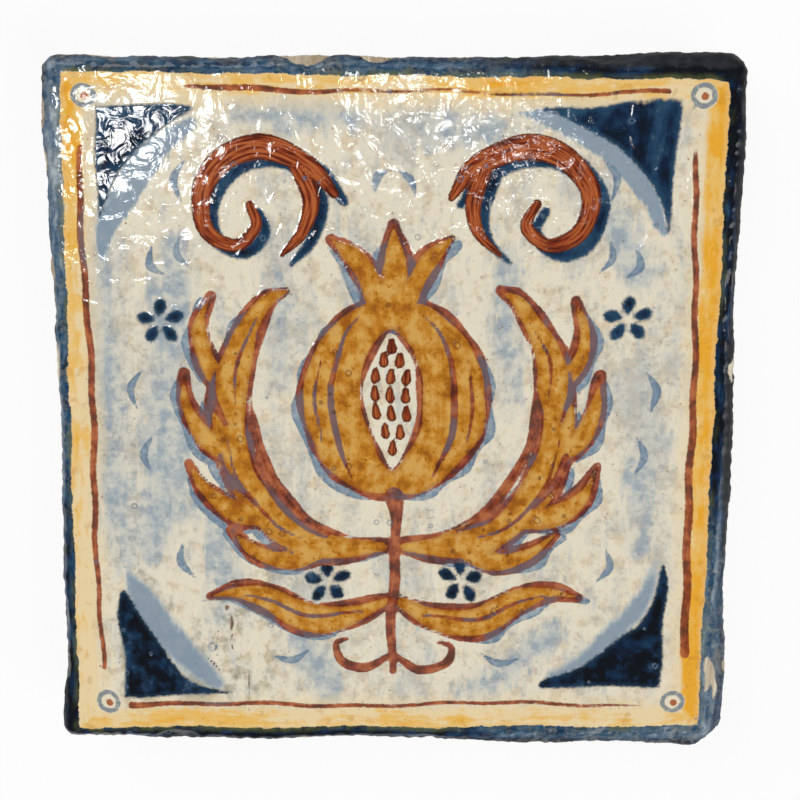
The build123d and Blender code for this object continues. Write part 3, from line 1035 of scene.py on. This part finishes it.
    # Painted shade: the outer part of the rim, over the arris where the edge turns away, is made darker
    rim_dark_and_shade = rim_dark_and_shade + inset.between(-1.6, -2.8) * 0.34 - 0.06
    stops = ((0.0, "haze"), (0.26, "steel"), (0.48, "teal"), (0.68, "navy"), (0.88, "soot"))
    front_left = up.between(-47.0, -49.0) * sideways.between(16.0, 2.0)
    by_yellow = inset.between(-1.1, -0.1)
    mossy = by_yellow * broad.between(0.42, 0.62) * 0.7
    rim = coats(
        graph.ramp(rim_dark_and_shade, [(stop, colours[name]) for stop, name in stops]),
        # Grey flecks, which follow the pale part of the rim's tone and so its painted sheen too
        ("ash", even.between(0.45, 0.60) * rim_tone_and_light.between(0.78, 0.50) * 0.5),
        ("moss", mossy.most(front_left * by_yellow * coarse.between(0.36, 0.58) * 0.6)),
    )

    # Ringed bubbles, pinholes and pits. The pinholes and pits are dented and painted dark, partly their own
    # colour and partly painted shade inside them
    bubble = graph.cells(place, 0.5, "Distance")
    chance, wide, _ = graph.parts(graph.cells(place, 0.5, "Color"))
    in_ochre = ochre_gap.between(0.1, -0.1)
    fuller = in_ochre * 0.35 + navy_gap.between(0.1, -0.1) * 0.15
    ring = (bubble - wide * 0.16 - 0.08 + shaky * 0.06).size().between(0.09, 0.02)
    ring = ring * (chance + fuller).between(0.97, 0.975)
    shaded_hole = bubble.between(0.09, 0.05) * (1 - chance + fuller).between(0.93, 0.94)
    pit_and_shade = (pit_gap + shaky * 0.5).between(0.12, -0.06)
    painted = coats(
        ground,
        (wash, inside(wash_gap, 0.12) * (0.98 - mottle.between(0.45, 0.7) * 0.3)),
        (navy, inside(navy_gap, 0.26, 1.0)),
        (yellow, band * 0.96),
        (ochre, inside(ochre_gap)),
        (russet, inside(russet_gap)),
        (line, inside(line_gap, 0.1) * 0.95),
        (rim, inset.between(0.05, -0.10)),
        (coats("steel", ("bark", in_ochre)), ring * 0.5),
        ("umber", shaded_hole * 0.7),
        (coats("umber", ("soot", coarse)), pit_and_shade * 0.85),
    )

    # Bare travertine, bedded along the tile
    beds = grain((1.0, 0.08, 0.22), 3.4, 6.0, 0.66, 0.6)
    thin_beds = grain((1.0, 0.06, 0.16), 0.7, 3.0, 0.6, 0.4)
    # Pores: dented, and darkened with bark, partly their own colour and partly painted shade inside them
    shaded_pores = grain((1.0, 0.4, 0.5), 0.7, 3.0, 0.6) * 0.5 + beds * 0.25 + broad * 0.25
    shaded_pores = shaded_pores.between(0.575, 0.62)
    stone = coats(
        "stone",
        ("vein", (beds * 0.7 + thin_beds * 0.3).between(0.48, 0.62) * 0.75),
        ("cream", (1 - beds).between(0.50, 0.62) * 0.75),
        ("umber", (thin_beds * 0.5 + mottle * 0.5).between(0.58, 0.70) * 0.35),
        ("bark", shaded_pores * 0.55),
    )
    scar = (scar_gap + shaky * 0.8).between(0.15, -0.10)
    glaze = graph.stored("glaze") + (coarse - 0.5) * 1.2 + shaky * 0.4
    glaze = glaze.between(-0.10, 0.10) * (1 - scar)

    rough = (1 - glaze) * 0.66 + fine.between(0.5, 0.7) * 0.03 + 0.07
    rough = rough + inset.between(-1.0, -2.4) * glaze * 0.5
    lumps = graph.clouds(place, 3.0, 3.5, 0.40, 0.8) * 0.135
    raised = ochre_gap.least(line_gap).least(russet_gap).least(navy_gap).between(0.25, -0.25) * 0.022
    height = (lumps + raised - ring * 0.03 - shaded_hole * 0.08 - pit_and_shade * 0.15) * glaze
    height = (mottle * 0.16 + fine * 0.06 - shaded_pores * 0.22) * (1 - glaze) + height
    bump = graph.node("Bump", None, {"Strength": 1.0, "Distance": MM, "Height": height})
    surface = {"Base Color": coats(stone, (painted, glaze)), "Roughness": rough, "Normal": bump, "IOR": 1.52}
    graph.node("OutputMaterial", None, {"Surface": graph.node("BsdfPrincipled", None, surface)})
    return graph.material


def floor_white():
    """A matt white floor, which is seen as lit mostly by itself, so that the shadow stays faint."""
    graph = Graph("floor_white")
    matt = graph.node("BsdfDiffuse", None, {"Color": linear(250, 250, 250)})
    glow = graph.node("Emission", None, {"Color": (1, 1, 1), "Strength": 1.0})
    rays = ("Is Camera Ray", "Is Glossy Ray", "Is Transmission Ray")
    seen = sum(graph.node("LightPath", None, None, ray) for ray in rays)
    shader = graph.node("MixShader", None, {0: seen * 0.9, 1: matt, 2: glow})
    graph.node("OutputMaterial", None, {"Surface": shader})
    return graph.material


# The soft lamps stand over the corners, where the rounded edges do not mirror them. The small lamps' broken
# reflections lie on the glaze. Each has its place and its size, in metres.
SOFT_LAMPS = (("key", (-1.05, 1.05, 1.15), 1.6), ("fill", (1.10, -1.05, 1.15), 1.6))
GLINTS = (
    ("glint_left", (-0.164, 0.040, 0.61), 0.046),
    ("glint_top", (-0.014, 0.064, 0.61), 0.029),
    ("glint_right", (0.046, 0.032, 0.61), 0.014),
)
# In metres, but for the sensor's width, which is in millimetres
FLOOR_SIZE = 6
NEAREST_SEEN = 0.01
SENSOR_WIDTH = 36


class TILE_OT_glazed_tile(bpy.types.Operator):
    """Model the tile, fit it to the stone, and paint and glaze it"""

    bl_idname = "tile.glazed_tile"
    bl_label = "Glazed Tile"

    def execute(self, context):
        shape = context.scene.tile_shape
        names = PaintColours.__annotations__
        colours = {name: tuple(getattr(context.scene.tile_colours, name)) for name in names}
        tile = raw_tile(shape)
        refine_back(tile)
        round_corners(tile, shape.corner)
        apply_modifier(tile, "SHRINKWRAP", {
            "target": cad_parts[NODE], "wrap_method": "PROJECT", "use_negative_direction": True,
            "use_positive_direction": True,
        })
        wear_in(tile, shape)
        lay_paint(tile.data)
        select_only(tile)
        bpy.ops.object.shade_smooth()
        tile.data.materials.clear()
        tile.data.materials.append(glazed_travertine(colours))
        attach(tile, "root")
        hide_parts(NODE)
        return {"FINISHED"}


class TILE_OT_stage(bpy.types.Operator):
    """Set up the floor, the lamps and the camera"""

    bl_idname = "tile.stage"
    bl_label = "Stage"

    def execute(self, context):
        setup = context.scene.tile_stage
        bpy.ops.object.select_all(action="DESELECT")
        bpy.ops.mesh.primitive_plane_add(size=FLOOR_SIZE, location=(0, 0, tile_low.z))
        floor = context.object
        floor.name = "floor"
        floor.data.materials.append(floor_white())

        world = bpy.data.worlds.new("sky")
        context.scene.world = world
        world.use_nodes = True
        background = world.node_tree.nodes["Background"]
        background.inputs["Color"].default_value = (1, 1, 1, 1)
        background.inputs["Strength"].default_value = setup.sky

        for name, place, size in SOFT_LAMPS:
            self.lamp(name, place, size, getattr(setup, name))
        for name, place, size in GLINTS:
            self.lamp(name, place, size, setup.glint * math.pi * size**2)

        camera = bpy.data.cameras.new("camera")
        camera.lens = setup.lens
        camera.sensor_width = SENSOR_WIDTH
        camera.clip_start = NEAREST_SEEN
        view = bpy.data.objects.new("camera", camera)
        context.scene.collection.objects.link(view)
        place, aim = Vector(setup.camera_place), Vector(setup.camera_aim)
        look = (aim - place).normalized()
        right = look.cross(Vector((0, 1, 0))).normalized()
        turned = Matrix((right, right.cross(look), -look)).transposed()
        view.matrix_world = Matrix.Translation(place) @ turned.to_4x4()
        context.scene.camera = view
        context.scene.view_settings.view_transform = "Standard"
        return {"FINISHED"}

    def lamp(self, name, place, size, power):
        """A square area lamp that faces the tile."""
        data = bpy.data.lights.new(name, "AREA")
        data.size = size
        data.energy = power
        lamp = bpy.data.objects.new(name, data)
        bpy.context.scene.collection.objects.link(lamp)
        lamp.location = place
        lamp.rotation_euler = (-Vector(place)).to_track_quat("-Z", "Y").to_euler()


class TILE_PT_panel(bpy.types.Panel):
    """Lists the tile's settings and its two steps."""

    bl_idname = "TILE_PT_panel"
    bl_label = "Painted Travertine Tile"
    bl_space_type = "VIEW_3D"
    bl_region_type = "UI"
    bl_category = "Tile"

    def draw(self, context):
        for name, group in GROUPS.items():
            column = self.layout.column()
            for setting in group.__annotations__:
                column.prop(getattr(context.scene, name), setting)
        for operator in (TILE_OT_glazed_tile, TILE_OT_stage):
            self.layout.operator(operator.bl_idname)


CLASSES = (TileShape, PaintColours, StageSetup, TILE_OT_glazed_tile, TILE_OT_stage, TILE_PT_panel)
GROUPS = {"tile_shape": TileShape, "tile_colours": PaintColours, "tile_stage": StageSetup}


def register():
    for cls in CLASSES:
        bpy.utils.register_class(cls)
    for name, group in GROUPS.items():
        setattr(bpy.types.Scene, name, PointerProperty(type=group))


def unregister():
    for name in GROUPS:
        delattr(bpy.types.Scene, name)
    for cls in reversed(CLASSES):
        bpy.utils.unregister_class(cls)


def main():
    register()
    bpy.ops.tile.glazed_tile()
    bpy.ops.tile.stage()


if __name__ == "__main__":
    main()
